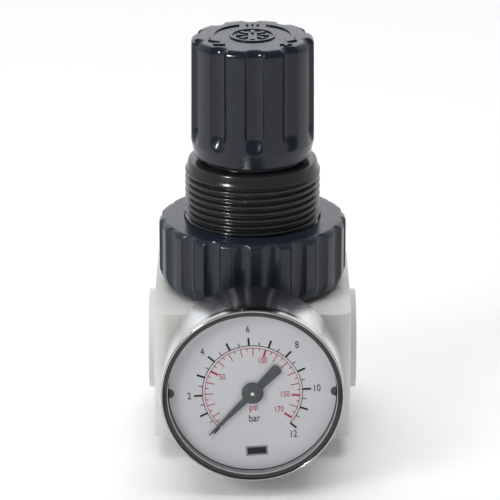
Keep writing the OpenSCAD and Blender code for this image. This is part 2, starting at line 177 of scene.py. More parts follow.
def painted_casting(name, rgb):
    """Powder-like paint on a die casting: fine orange peel, faint dirt in the low frequencies."""
    n = Nodes(name)
    peel = n.noise(900.0, 2.0)
    specks = n.noise(4200.0, 1.0)
    mottle = n.spread(n.noise(35.0, 5.0), 0.3, 0.7, 0.0, 1.0)
    tone = n.blend(mottle, colour(rgb, 0.96), colour(rgb, 1.03))
    tone = n.blend(n.spread(specks, 0.62, 0.75, 0.0, 0.16), tone, colour(rgb, 0.72))
    below = n.bump(peel, 0.00006, 0.5)
    return n.set(Base_Color=tone, Roughness=n.spread(peel, 0.3, 0.7, 0.42, 0.54),
                 Normal=n.bump(specks, 0.00002, 0.3, below), Specular_IOR_Level=0.45)


def metal(name, rgb, rough, grain=0.00001):
    """Bare metal with slight tarnish and a fine grain of the given depth."""
    n = Nodes(name)
    pits = n.noise(1500.0, 3.0, 0.6)
    tarnish = n.spread(n.noise(180.0, 5.0), 0.35, 0.75, 0.0, 1.0)
    tone = n.blend(tarnish, rgb, colour(rgb, 0.8))
    shine = n.spread(pits, 0.3, 0.7, rough * 0.75, rough * 1.3)
    return n.set(Base_Color=tone, Metallic=1.0, Roughness=shine, Normal=n.bump(pits, grain, 0.4))


def rubber(name, rgb):
    """Dull black rubber with a little dust."""
    n = Nodes(name)
    dust = n.spread(n.noise(500.0, 5.0), 0.45, 0.8, 0.0, 0.5)
    return n.set(Base_Color=n.blend(dust, rgb, colour(rgb, 2.6)), Roughness=n.spread(dust, 0, 0.5, 0.6, 0.85),
                 Normal=n.bump(n.noise(3000.0, 2.0), 0.00002, 0.6))


def print_ink(name, rgb):
    """Flat, slightly patchy print or paint."""
    n = Nodes(name)
    patchy = n.spread(n.noise(2500.0, 3.0), 0.3, 0.7, 0.0, 1.0)
    return n.set(Base_Color=n.blend(patchy, rgb, colour(rgb, 1.15)), Roughness=0.55, Specular_IOR_Level=0.3)


def dial_paint(name, rgb):
    """Satin paint of the dial's ground."""
    n = Nodes(name)
    tone = n.blend(n.spread(n.noise(90.0, 4.0), 0.3, 0.7, 0.0, 1.0), rgb, colour(rgb, 0.96))
    return n.set(Base_Color=tone, Roughness=0.5, Normal=n.bump(n.noise(5000.0, 2.0), 0.000005, 0.4))


def clear_plastic(name):
    """Clear window: only its reflections and a trace of smudges show."""
    n = Nodes(name)
    smudge = n.spread(n.noise(70.0, 5.0), 0.45, 0.75, 0.03, 0.10)
    return n.set(Base_Color=(0.02, 0.02, 0.022, 1), Roughness=smudge, Alpha=0.06, IOR=1.5)


PAINT = painted_casting("body_paint", (0.65, 0.665, 0.63))
BONNET = moulded_plastic("bonnet_plastic", (0.017, 0.019, 0.020), 0.17)
RING = moulded_plastic("ring_plastic", (0.014, 0.018, 0.029), 0.22)
KNOB = moulded_plastic("knob_plastic", (0.006, 0.009, 0.018), 0.20)
CHROME = metal("case_chrome", (0.64, 0.64, 0.64), 0.20, grain=0.0000003)
DIAL = dial_paint("dial_paint", (0.76, 0.755, 0.785))
INK = print_ink("scale_black", (0.012, 0.012, 0.014))
RED_INK = print_ink("scale_red", (0.46, 0.035, 0.065))
PLATE_INK = print_ink("plate_grey", (0.30, 0.30, 0.32))
# Notch grey: painted shade standing in for the hollows of the dial's notches.
NOTCH_SHADE = print_ink("notch_painted_shade", (0.10, 0.10, 0.105))
POINTER = print_ink("pointer_paint", (0.085, 0.093, 0.10))
PIN = print_ink("pin_ivory", (0.85, 0.82, 0.70))
CLEAR = clear_plastic("window_plastic")
# Rim chrome: the case's chrome made darker, a painted reflection of the dark surroundings.
RIM_PAINTED_REFLECTION = metal("rim_chrome_painted_reflection", (0.46, 0.46, 0.46), 0.14, grain=0.0000003)
# Window edge: dark plastic where the clear window's edge looks dark, painted shade.
WINDOW_EDGE_SHADE = moulded_plastic("window_edge_painted_shade", (0.030, 0.032, 0.033), 0.18)
# Window skirt: mid-grey, painted light for the wall seen lit through the clear window instead of in its
# shade.
SKIRT_PAINTED_LIGHT = print_ink("window_skirt_painted_light", (0.24, 0.245, 0.25))
# Window bead: a light matte ring, a painted highlight on the window's edge.
BEAD_HIGHLIGHT = print_ink("window_bead_painted_highlight", (0.45, 0.46, 0.47))
SLOTS = {
    "painted_body": PAINT, "black_plastic": BONNET, "ring_plastic": RING, "knob_plastic": KNOB,
    "zinc_steel": metal("zinc_steel", (0.62, 0.62, 0.64), 0.3),
    "bright_steel": metal("bright_steel", (0.68, 0.68, 0.69), 0.18),
    "dark_steel": metal("dark_steel", (0.16, 0.16, 0.17), 0.45),
    "spring_steel": metal("spring_steel", (0.42, 0.42, 0.44), 0.3),
    "bronze_washer": metal("bronze_washer", (0.6, 0.42, 0.2), 0.35),
    "brass_parts": metal("brass_parts", (0.78, 0.57, 0.27), 0.25),
    "copper_tube": metal("copper_tube", (0.72, 0.43, 0.25), 0.28),
    "black_rubber": rubber("black_rubber", (0.018, 0.018, 0.019)),
    "plated_plug": metal("plated_plug", (0.62, 0.61, 0.59), 0.22),
    "chrome_case": CHROME, "clear_window": CLEAR, "dial_face": DIAL, "pointer_grey": POINTER}

for entry in frame["record"]["subparts"]:
    mesh = nodes[entry["node"]].data
    mesh.materials.clear()
    mesh.materials.append(SLOTS[entry["material_slot"]])


# ---------------------------------------------------------------- mesh helpers

def make(name, verts, faces, material, body, stands_for=(), sharp=35.0):
    """A mesh piece from points in millimetres. Faces sharper than the angle keep a crisp edge."""
    mesh = bpy.data.meshes.new(name)
    mesh.from_pydata([Vector(v) * MM for v in verts], [], faces)
    bm = bmesh.new()
    bm.from_mesh(mesh)
    bmesh.ops.remove_doubles(bm, verts=bm.verts, dist=1e-7)
    bmesh.ops.dissolve_degenerate(bm, edges=bm.edges, dist=1e-8)
    bmesh.ops.recalc_face_normals(bm, faces=bm.faces)
    bm.to_mesh(mesh)
    bm.free()
    return finish_piece(bpy.data.objects.new(name, mesh), material, body, stands_for, sharp)


def finish_piece(piece, material, body, stands_for=(), sharp=35.0):
    """Shade a mesh piece, give it its material, tie it to its body and hide the CAD nodes it stands for."""
    if piece.name not in bpy.context.scene.collection.objects:
        bpy.context.scene.collection.objects.link(piece)
    mesh = piece.data
    mesh.polygons.foreach_set("use_smooth", [True] * len(mesh.polygons))
    mesh.set_sharp_from_angle(angle=math.radians(sharp))
    mesh.materials.clear()
    mesh.materials.append(material)
    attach(piece, body)
    if stands_for:
        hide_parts(*stands_for)
    return piece


def round_corners(points, steps=5, closed=False):
    """Outline of (r, z, fillet) points with each corner replaced by an arc of its fillet radius."""
    out = []
    count = len(points)
    for i, (r, z, fillet) in enumerate(points):
        at_end = not closed and i in (0, count - 1)
        if fillet <= 0 or at_end:
            out.append((r, z))
            continue
        here = Vector((r, z))
        back = (Vector(points[i - 1][:2]) - here)
        ahead = (Vector(points[(i + 1) % count][:2]) - here)
        room = min(back.length, ahead.length) * 0.49
        back.normalize()
        ahead.normalize()
        half = back.angle(ahead) / 2
        reach = min(fillet / math.tan(half), room)
        radius = reach * math.tan(half)
        centre = here + (back + ahead).normalized() * (radius / math.sin(half))
        start, end = here + back * reach - centre, here + ahead * reach - centre
        turn = start.angle_signed(end)
        for k in range(steps + 1):
            a = -turn * k / steps
            spun = Vector((start.x * math.cos(a) - start.y * math.sin(a),
                           start.x * math.sin(a) + start.y * math.cos(a)))
            out.append(tuple(centre + spun))
    return out


def refine(outline, longest, low=-1e9, high=1e9):
    """The outline with its spans between two heights cut so that none is longer than the limit."""
    out = [outline[0]]
    for a, b in zip(outline, outline[1:]):
        pieces = 1
        if low <= (a[1] + b[1]) / 2 <= high:
            pieces = max(1, math.ceil(math.dist(a, b) / longest))
        out += [(a[0] + (b[0] - a[0]) * k / pieces, a[1] + (b[1] - a[1]) * k / pieces)
                for k in range(1, pieces + 1)]
    return out


def lathe(outline, columns, shape=None, closed=False):
    """Points and faces of an outline turned round Z, in a number of columns or at a list of angles.

    shape(r, z, angle) may move each point.
    """
    angles = [TAU * j / columns for j in range(columns)] if isinstance(columns, int) else columns
    verts = []
    for r, z in outline:
        for a in angles:
            rr, zz = shape(r, z, a) if shape else (r, z)
            verts.append((rr * math.cos(a), rr * math.sin(a), zz))
    rows, count = len(outline), len(angles)
    faces = []
    for i in range(rows if closed else rows - 1):
        k = (i + 1) % rows
        for j in range(count):
            m = (j + 1) % count
            faces.append((i * count + j, i * count + m, k * count + m, k * count + j))
    return verts, faces


def grip_columns(first, count, half, spacing):
    """Angles round the axis, evenly spaced but packed closely at both edges of every grip flute."""
    close = [math.radians(d) for d in (0.0, 0.2, 0.45, 0.8)]
    reach = close[-1]
    step = TAU / count
    spots = []

    def span(low, high):
        parts = max(1, round((high - low) / spacing))
        return [low + (high - low) * k / parts for k in range(1, parts)]

    for i in range(count):
        middle = first + i * step
        for side in (-1, 1):
            edge = middle + side * half
            spots += [edge] + [edge + sign * c for c in close[1:] for sign in (-1, 1)]
        spots += span(middle - half + reach, middle + half - reach)
        spots += span(middle + half + reach, middle + step - half - reach)
    return sorted(a % TAU for a in spots)


def flute_half(radius, centre_r, flute_r):
    """Half angle of a grip flute where it meets a land of the given radius."""
    return math.acos((centre_r ** 2 + radius ** 2 - flute_r ** 2) / (2 * centre_r * radius))


def soft_min(a, b, k):
    """The smaller of two lengths, blended over about k."""
    h = max(k - abs(a - b), 0.0) / k
    return min(a, b) - h * h * k / 4


def flute_wall(angle, centre_r, flute_r, first, count):
    """Distance from the axis to the near wall of the closest grip flute, or None beside it."""
    step = TAU / count
    off = (angle - first + step / 2) % step - step / 2
    side = centre_r * math.sin(off)
    if abs(side) >= flute_r:
        return None
    return centre_r * math.cos(off) - math.sqrt(flute_r ** 2 - side ** 2)


def fluted(top_z, edge, centre_r, flute_r, first, count, blend):
    """Shape function that cuts grip flutes and rounds the edge where they meet the top face."""
    def shape(r, z, angle):
        wall = flute_wall(angle, centre_r, flute_r, first, count)
        if wall is None:
            return r, z
        gap = wall - r
        if gap < edge:
            near = edge - max(gap, 0.0)
            z = min(z, top_z - (edge - math.sqrt(max(edge ** 2 - near ** 2, 0.0))))
        return soft_min(r, wall, blend), z
    return shape


def softened(name, node, width, segments=3, cutters=(), sharp=32.0):
    """Copy of a CAD node with narrow rounded edges."""
    mesh = nodes[node].data.copy()
    mesh.name = name
    piece = bpy.data.objects.new(name, mesh)
    bpy.context.scene.collection.objects.link(piece)
    bm = bmesh.new()
    bm.from_mesh(mesh)
    bmesh.ops.remove_doubles(bm, verts=bm.verts, dist=2e-7)
    bmesh.ops.dissolve_limit(bm, angle_limit=math.radians(0.6), verts=bm.verts, edges=bm.edges)
    bm.to_mesh(mesh)
    bm.free()
    for cutter in cutters:
        cut = piece.modifiers.new("cut", "BOOLEAN")
        cut.object = cutter
        cut.operation = "DIFFERENCE"
        cut.solver = "EXACT"
    edge = piece.modifiers.new("edge", "BEVEL")
    edge.width = width * MM
    edge.segments = segments
    edge.limit_method = "ANGLE"
    edge.angle_limit = math.radians(sharp)
    edge.harden_normals = False
    edge.use_clamp_overlap = True
    apply_modifiers(piece)
    return piece


def apply_modifiers(piece):
    """Replace the piece's mesh by its evaluated mesh."""
    bpy.context.view_layer.update()
    shown = piece.evaluated_get(bpy.context.evaluated_depsgraph_get())
    mesh = bpy.data.meshes.new_from_object(shown)
    piece.modifiers.clear()
    old = piece.data
    piece.data = mesh
    mesh.name = piece.name
    bpy.data.meshes.remove(old)


# ---------------------------------------------------------------- body and ports

def body_casting():
    """Body with rounded edges and the port bores opened to the thread's major diameter."""
    major = PORT_R + 0.86
    cutters = []
    for side in (-1, 1):
        mouth = side * body_high.x / MM
        middle = mouth - side * (PORT_DEPTH - 1) / 2
        bpy.ops.mesh.primitive_cylinder_add(
            vertices=96, radius=major * MM, depth=(PORT_DEPTH + 1) * MM,
            location=(middle * MM, 0, PORT_Z * MM), rotation=(0, math.pi / 2, 0))
        cutters.append(bpy.context.object)
    piece = softened("body_casting", "body", 0.7, 3, cutters)
    for cutter in cutters:
        bpy.data.objects.remove(cutter)
    finish_piece(piece, PAINT, "regulator_body", ("body",))


def port_thread(name, side):
    """Internal pipe thread of a port: a sleeve whose bore is a helical V, with a chamfered mouth."""
    pitch, crest, root, back = 1.337, PORT_R, PORT_R + 0.72, PORT_R + 0.85
    mouth = 0.9
    rows_per_turn = 12
    rows = round(PORT_DEPTH / pitch * rows_per_turn)
    bore_line = [(crest, PORT_DEPTH * i / rows) for i in range(rows + 1)]
    outline = [(back, 0.0), *bore_line, (back, PORT_DEPTH)]

    def shape(r, z, angle):
        if r >= back:
            return r, z
        phase = (z / pitch - angle / TAU) % 1.0
        height = min(max((abs(2 * phase - 1) - 0.12) / 0.76, 0.0), 1.0)
        bore = root - (root - crest) * height
        return max(bore, back - z / mouth * (back - crest)) if z < mouth else bore, z

    verts, faces = lathe(outline, 96, shape, closed=True)
    end = body_high.x / MM
    placed = [(side * (end - 0.05 - z), y * side, PORT_Z + x) for x, y, z in verts]
    make(name, placed, faces, PAINT, "regulator_body", sharp=50)


body_casting()
port_thread("inlet_thread", -1)
port_thread("outlet_thread", 1)


# ---------------------------------------------------------------- bonnet with its panel thread

def bonnet_shell():
    """Bonnet with a true helical panel thread above the ring, a chamfered shoulder and the neck."""
    pitch, depth = 2.0, 1.1
    shoulder = BASE_Z + 74.2
    ceiling = BASE_Z + 70.5
    start, end = RING_Z2 - 3.0, shoulder - 2.9
    neck_top, foot = bonnet_high.z / MM, bonnet_low.z / MM
    foot_r, bore_r, neck_r, neck_bore_r, screw_hole_r = 20.94, 14.5, 14.0, 11.0, 5.6
    outline = round_corners([
        (bore_r, foot, 0.2), (foot_r, foot, 0.4), (foot_r, BODY_TOP, 0), (PANEL_R, BODY_TOP, 0),
        (PANEL_R, start, 0), (PANEL_R, end, 0), (PANEL_R - 0.45, shoulder - 2.2, 0.6),
        (PANEL_R - 1.0, shoulder, 0.5), (neck_r, shoulder, 0.3), (neck_r, shoulder + 2.4, 0.3),
        (neck_r - 0.4, shoulder + 2.9, 0.2), (neck_r, shoulder + 3.5, 0.3), (neck_r, neck_top, 0.8),
        (neck_bore_r, neck_top, 0.3), (neck_bore_r, shoulder, 0), (screw_hole_r, shoulder, 0),
        (screw_hole_r, ceiling, 0), (bore_r, ceiling, 0)], 4, closed=True)
    outline = refine(outline, pitch / 16, start, end)

    def shape(r, z, angle):
        if r < PANEL_R - 0.01 or not start <= z <= end:
            return r, z
        phase = (z / pitch - angle / TAU) % 1.0
        groove = 1 - min(max((abs(2 * phase - 1) - 0.10) / 0.72, 0.0), 1.0)
        groove = groove * groove * (3 - 2 * groove)
        fade = min(1.0, (end - z) / 1.2, (z - start) / 0.5)
        return r - depth * groove * max(fade, 0.0), z

    verts, faces = lathe(outline, 192, shape, closed=True)
    make("bonnet_shell", verts, faces, BONNET, "regulator_body", ("bonnet",), sharp=60)


bonnet_shell()


# ---------------------------------------------------------------- mounting ring and knob

def ring_nut():
    """Fluted ring nut with rounded lands; the flutes run out through the rounded top edge."""
    r = RING_R
    bore = PANEL_R + 0.1
    outline = round_corners([
        (bore, RING_Z1, 0.3), (r - 3.3, RING_Z1, 0.8), (r - 1.1, RING_Z1 + 1.7, 2.5), (r, RING_Z1 + 4.4, 3.0),
        (r, RING_Z2, 1.9), (bore, RING_Z2, 0.5)], 8, closed=True)
    outline = refine(outline, 0.9)
    first, count = math.radians(11 - 90), 20
    flute_r, depth = 3.6, 1.35
    centre_r = r + flute_r - depth
    columns = grip_columns(first, count, flute_half(r, centre_r, flute_r), math.radians(0.7))
    shape = fluted(RING_Z2, 0.4, centre_r, flute_r, first, count, 0.15)
    verts, faces = lathe(outline, columns, shape, closed=True)
    make("ring_nut", verts, faces, RING, "regulator_body", ("mounting_ring",), sharp=50)


def hand_knob():
    """Fluted knob: tapered skirt, round-ended flutes, hollow underneath.

    The rounded top edge follows the flutes, so the top face has a wavy outline.
    """
    r = KNOB_R
    crease = KNOB_Z1 + 4.4
    foot = BASE_Z + 84.2
    flute_r, sink = 3.4, 1.75
    edge_round = 1.9
    land_r = r - 0.2
    ceiling, step_z = KNOB_Z2 - 12, BASE_Z + 84.4
    bore_r, skirt_bore_r = 13.1, 14.6
    outline = round_corners([
        (0, ceiling, 0), (bore_r, ceiling, 0), (bore_r, step_z, 0), (skirt_bore_r, step_z, 0),
        (skirt_bore_r, KNOB_Z1, 0.3), (r - 1.0, KNOB_Z1, 0.5), (r, crease, 1.6),
        (land_r, KNOB_Z2, edge_round), (0, KNOB_Z2, 0)], 8)
    outline = refine(outline, 0.35, foot - 4, foot + 1)
    outline = refine(outline, 1.6)
    first, count = math.radians(2 - 90), 10
    centre_r = r + flute_r - sink
    shoulder = KNOB_Z2 - edge_round
    edge_r = land_r - edge_round

    def radius_at(z):
        if z >= foot:
            return flute_r
        return math.sqrt(max(flute_r ** 2 - (foot - z) ** 2, 0.0))

    def dented(radius, z, angle):
        width = radius_at(z)
        wall = flute_wall(angle, centre_r, width, first, count) if width > 0 else None
        return radius if wall is None else soft_min(radius, wall, 0.2)

    def shape(rr, z, angle):
        if z <= shoulder:
            outside = rr > skirt_bore_r + 0.3
            return (dented(rr, z, angle) if outside else rr), z
        dent = land_r - dented(land_r, shoulder, angle)
        if rr >= edge_r:
            return rr - dent, z
        return rr * (edge_r - dent) / edge_r, z

    columns = grip_columns(first, count, flute_half(r, centre_r, flute_r), math.radians(1.0))
    verts, faces = lathe(outline, columns, shape)
    make("knob_shell", verts, faces, KNOB, "hand_knob", ("knob",), sharp=50)
    hub_bore_r, hub_r, hub_foot, hub_top = 5.3, 8, BASE_Z + 79, ceiling + 0.1
    hub = round_corners([(hub_bore_r, hub_foot, 0.2), (hub_r, hub_foot, 0.4), (hub_r, hub_top, 0),
                         (hub_bore_r, hub_top, 0)], 3, closed=True)
    verts, faces = lathe(hub, 48, closed=True)
    make("knob_hub", verts, faces, KNOB, "hand_knob")


ring_nut()
hand_knob()


def raised(name, outlines, z, height, material, body, edge=0.12):
    """Flat shapes raised from a level face, with a narrow sloped edge. Outlines are in millimetres."""
    verts, faces = [], []
    for outline in outlines:
        count = len(outline)
        area = sum(a[0] * b[1] - b[0] * a[1] for a, b in zip(outline, outline[1:] + outline[:1]))
        points = [Vector(p) for p in (outline if area > 0 else outline[::-1])]
        inner = []
        for i, p in enumerate(points):
            back = (p - points[i - 1]).normalized()
            ahead = (points[(i + 1) % count] - p).normalized()
            normal = Vector((-back.y - ahead.y, back.x + ahead.x))
            size = max(normal.length, 0.6)
            inner.append(p + normal.normalized() * edge * min(2 / size, 1.6))
        base = len(verts)
        verts += [(p.x, p.y, z) for p in points]
        verts += [(p.x, p.y, z + height * 0.6) for p in points]
        verts += [(p.x, p.y, z + height) for p in inner]
        for level in (0, 1):
            for i in range(count):
                k = (i + 1) % count
                low, high = base + level * count, base + (level + 1) * count
                faces.append((low + i, low + k, high + k, high + i))
        faces.append(tuple(base + 2 * count + i for i in range(count)))
        faces.append(tuple(base + i for i in reversed(range(count))))
    return make(name, verts, faces, material, body, sharp=30)


def polar(r, degrees):
    """Point at a radius and an angle in degrees clockwise from +Y."""
    return r * math.sin(math.radians(degrees)), r * math.cos(math.radians(degrees))


def arc_band(r1, r2, a1, a2, steps=24):
    """Outline of a curved band between two radii and two angles, in degrees clockwise from +Y."""
    spots = [a1 + (a2 - a1) * k / steps for k in range(steps + 1)]
    return [polar(r2, a) for a in spots] + [polar(r1, a) for a in reversed(spots)]


def arrow(r, width, a1, a2, head):
    """Outline of a curved arrow whose tip is at angle a2."""
    way = 1 if a2 > a1 else -1
    neck = a2 - way * head
    spots = [a1 + (neck - a1) * k / 20 for k in range(21)]
    outer = [polar(r + width / 2, a) for a in spots]
    inner = [polar(r - width / 2, a) for a in reversed(spots)]
    tip = [polar(r + width * 1.25, neck), polar(r, a2), polar(r - width * 1.25, neck)]
    return outer + tip + inner


def cross(x, y, size, width):
    """Outline of a plus sign."""
    s, w = size / 2, width / 2
    return [(x - s, y - w), (x - w, y - w), (x - w, y - s), (x + w, y - s), (x + w, y - w), (x + s, y - w),
            (x + s, y + w), (x + w, y + w), (x + w, y + s), (x - w, y + s), (x - w, y + w), (x - s, y + w)]


def box_outline(x, y, w, h):
    """Outline of a rectangle given by its centre and size."""
    return [(x - w / 2, y - h / 2), (x + w / 2, y - h / 2), (x + w / 2, y + h / 2), (x - w / 2, y + h / 2)]


def knob_marks():
    """Generic turn marks on the knob: two arrows with plus and minus, and a plain centre disc."""
    shapes = [arrow(11.4, 1.5, 20, 128, 16), arrow(11.4, 1.5, -20, -128, 16),
              cross(9.2, -8.8, 3.4, 1.1), box_outline(-9.2, -8.8, 3.4, 1.1),
              arc_band(5.6, 6.5, 0, 359.9, 60)]
    for a in range(0, 360, 45):
        shapes.append(arc_band(2.0, 4.6, a - 9, a + 9, 4))
    for a in (-8, 0, 8):
        shapes.append(arc_band(10.2, 12.6, a - 1.6, a + 1.6, 3))
    raised("knob_marks", shapes, KNOB_Z2 - 0.03, 0.42, KNOB, "hand_knob")


knob_marks()


# ---------------------------------------------------------------- gauge

def gauge_point(x, y, forward):
    """Row-frame millimetres of a point given across, up and forward in the tilted gauge."""
    c, s = math.cos(GAUGE_TILT), math.sin(GAUGE_TILT)
    return (x * c - y * s, -forward, GAUGE_Z + x * s + y * c)


def gauge_lathe(name, outline, columns, material, stands_for=(), closed=True, sharp=40):
    """Round gauge piece from an outline of radius and distance forward."""
    verts, faces = lathe(outline, columns, closed=closed)
    placed = [gauge_point(x, y, z) for x, y, z in verts]
    return make(name, placed, faces, material, "regulator_body", stands_for, sharp)


def gauge_flat(name, outlines, forward, material, body="regulator_body", thick=0.03):
    """Thin printed shapes on the dial, each outline in gauge millimetres."""
    verts, faces = [], []
    for outline in outlines:
        base, count = len(verts), len(outline)
        verts += [gauge_point(x, y, forward) for x, y in outline]
        verts += [gauge_point(x, y, forward + thick) for x, y in outline]
        faces.append(tuple(base + i for i in range(count)))
        faces.append(tuple(base + count + i for i in reversed(range(count))))
        for i in range(count):
            k = (i + 1) % count
            faces.append((base + i, base + count + i, base + count + k, base + k))
    return make(name, verts, faces, material, body, sharp=20)


R = CASE_R
LUG_TURN = math.radians(-3)


def turned(outline, angle):
    """Outline turned about the gauge's centre, anticlockwise as seen from the front."""
    c, s = math.cos(angle), math.sin(angle)
    return [(x * c - y * s, x * s + y * c) for x, y in outline]


def gauge_case():
    """Case whose thin bright rim stands round the window's flange. The rim's chrome is darker than the
    case's, a painted reflection of dark surroundings.
    """
    rim_r, wall_r = 0.978 * R, 0.935 * R
    barrel = round_corners([
        (5.6, CASE_BACK, 0), (R - 0.5, CASE_BACK, 2.2), (R - 0.5, CASE_FRONT - 3.9, 0),
        (wall_r, CASE_FRONT - 3.9, 0), (R - 1.4, CASE_FRONT - 4.3, 0.1), (R - 1.4, CASE_BACK + 1, 1.2),
        (5.6, CASE_BACK + 1, 0)], 6, closed=True)
    gauge_lathe("case_shell", barrel, 144, CHROME, ("gauge_case",))
    rim = round_corners([
        (R - 0.6, CASE_FRONT - 4, 0), (R, CASE_FRONT - 3.8, 0.25), (R, CASE_FRONT, 0.5),
        (rim_r, CASE_FRONT, 0.15), (rim_r, CASE_FRONT - 0.8, 0.05), (wall_r, CASE_FRONT - 0.8, 0.05),
        (wall_r, CASE_FRONT - 4, 0)], 6, closed=True)
    gauge_lathe("case_rim", rim, 144, RIM_PAINTED_REFLECTION)


def gauge_window():
    """Clear disc held by a flange drawn dark as painted shade, with a thin light ring as painted highlight, a
    lighter grey wall as painted light and two black marks as painted shade of the snap slots.
    """
    front = CASE_FRONT - 0.6
    outer = 0.92 * R
    disc = round_corners([
        (0, front - 1, 0), (outer, front - 1, 0.1), (outer, front, 0.3), (0, front + 0.12, 0)], 4)
    gauge_lathe("window_disc", refine(disc, 3.0), 144, CLEAR, ("gauge_window",), closed=False)
    flange = CASE_FRONT - 0.45
    # Dark flange: painted shade of the clear window's edge.
    edge = round_corners([
        (0.926 * R, CASE_FRONT - 0.79, 0), (0.976 * R, CASE_FRONT - 0.79, 0), (0.976 * R, flange, 0.15),
        (0.926 * R, flange, 0.2)], 4, closed=True)
    gauge_lathe("window_edge_painted_shade", edge, 144, WINDOW_EDGE_SHADE)
    # Mid-grey inner wall: painted light where the wall shows through the clear window.
    skirt = [(0.922 * R, DIAL_FRONT + 0.1), (0.934 * R, DIAL_FRONT + 0.1), (0.934 * R, CASE_FRONT - 0.8),
             (0.922 * R, CASE_FRONT - 0.8)]
    gauge_lathe("window_skirt_painted_light", skirt, 144, SKIRT_PAINTED_LIGHT)
    # Light ring: painted highlight on the window's edge.
    bead = round_corners([
        (0.921 * R, front - 0.2, 0), (0.9275 * R, front - 0.2, 0), (0.9275 * R, flange + 0.02, 0.05),
        (0.921 * R, flange + 0.02, 0.05)], 2, closed=True)
    gauge_lathe("window_bead_painted_highlight", bead, 144, BEAD_HIGHLIGHT)
    # Snap slots: black marks on the flange, painted shade in the slot openings.
    slots = [turned(box_outline(side * 0.954 * R, 0, 0.5, 4.6), LUG_TURN) for side in (-1, 1)]
    gauge_flat("window_lug_slots_painted_shade", slots, flange - 0.01, INK, thick=0.04)


SCALE_START, SCALE_SWEEP = -135, 270
PSI_TURN = 1.5517  # degrees of the scale for one psi


def dial_angle(share):
    """Degrees clockwise from the top for a share of the scale's sweep."""
    return SCALE_START + SCALE_SWEEP * share


def psi_angle(psi):
    """Degrees clockwise from the top for a pressure on the inner scale."""
    return SCALE_START + psi * PSI_TURN


def tick(r1, r2, angle, width):
    """Outline of a straight mark between two radii."""
    a = math.radians(angle)
    across = Vector((math.cos(a), -math.sin(a))) * width / 2
    near, far = (Vector((math.sin(a), math.cos(a))) * r for r in (r1, r2))
    return [tuple(p) for p in (near - across, near + across, far + across, far - across)]


def numerals(name, marks, material):
    """Printed figures and unit words; each mark is (text, x, y, height, width factor)."""
    made = []
    for i, (text, x, y, height, narrow) in enumerate(marks):
        curve = bpy.data.curves.new(f"{name}_{i}", "FONT")
        curve.body = text
        curve.align_x = "CENTER"
        curve.align_y = "CENTER"
        curve.size = height / 0.7 * MM
        curve.extrude = 0.015 * MM
        curve.offset = (0.001 if text == "4" else 0.008) * height * MM
        curve.resolution_u = 4
        source = bpy.data.objects.new(f"{name}_{i}", curve)
        bpy.context.scene.collection.objects.link(source)
        bpy.context.view_layer.update()
        mesh = bpy.data.meshes.new_from_object(source)
        for v in mesh.vertices:
            spot = gauge_point(x + v.co.x / MM * narrow, y + v.co.y / MM, DIAL_FRONT + 0.02 + v.co.z / MM)
            v.co = Vector(spot) * MM
        made.append(mesh)
        bpy.data.objects.remove(source)
    bm = bmesh.new()
    for mesh in made:
        bm.from_mesh(mesh)
        bpy.data.meshes.remove(mesh)
    joined = bpy.data.meshes.new(name)
    bm.to_mesh(joined)
    bm.free()
    finish_piece(bpy.data.objects.new(name, joined), material, "regulator_body", sharp=20)


def dial_scales():
    """Bar scale outside in black, psi scale inside in red, and their figures."""
    level = DIAL_FRONT + 0.005
    black = [arc_band(0.542 * R, 0.550 * R, dial_angle(0), dial_angle(1), 90)]
    for half in range(25):
        whole = half % 2 == 0
        black.append(tick(0.547 * R, (0.638 if whole else 0.59) * R, dial_angle(half / 24),
                          0.56 if whole else 0.24))
    gauge_flat("bar_scale", black, level, INK)
    last = 170
    red = [arc_band(0.514 * R, 0.521 * R, psi_angle(0), psi_angle(last), 90)]
    for psi in range(0, last + 1, 5):
        named = psi % 50 == 0 or psi == last
        reach = 0.425 if psi % 10 == 0 else 0.485
        red.append(tick(reach * R, 0.518 * R, psi_angle(psi), 0.55 if named else 0.24))
    gauge_flat("psi_scale", red, level, RED_INK)
    high = 0.080 * R
    marks = []
    for value, r, angle in ((2, 0.69, -90), (4, 0.72, -45), (6, 0.737, 0), (8, 0.733, 45), (10, 0.70, 90),
                            (12, 0.664, 141.8)):
        marks.append((str(value), *polar(r * R, angle), high, 0.78))
    marks.append(("bar", 0, -0.307 * R, 0.085 * R, 0.8))
    numerals("bar_figures", marks, INK)
    marks = [("psi", 0, -0.177 * R, 0.08 * R, 0.8)]
    for value, r in ((50, 0.374), (100, 0.385), (150, 0.352), (last, 0.351)):
        marks.append((str(value), *polar(r * R, psi_angle(value)), 0.068 * R, 0.74))
    numerals("psi_figures", marks, RED_INK)
    gauge_flat("dial_plate", [box_outline(0, -0.69 * R, 6.1, 2.9)], level, PLATE_INK)
    gauge_flat("dial_plate_middle", [box_outline(0, -0.69 * R, 5.1, 1.9)], level + 0.03, INK)


def dial_notches():
    """Dark half-round marks where the window's lugs pass the dial's edge: painted shade in the dial's
    notches.
    """
    shapes = []
    for side in (-1, 1):
        arc = [(side * (0.905 * R - 0.055 * R * math.cos(a)), 0.055 * R * math.sin(a))
               for a in [math.radians(-90 + 15 * k) for k in range(13)]]
        shapes.append(turned(arc, LUG_TURN))
    gauge_flat("dial_notches", shapes, DIAL_FRONT + 0.006, NOTCH_SHADE)


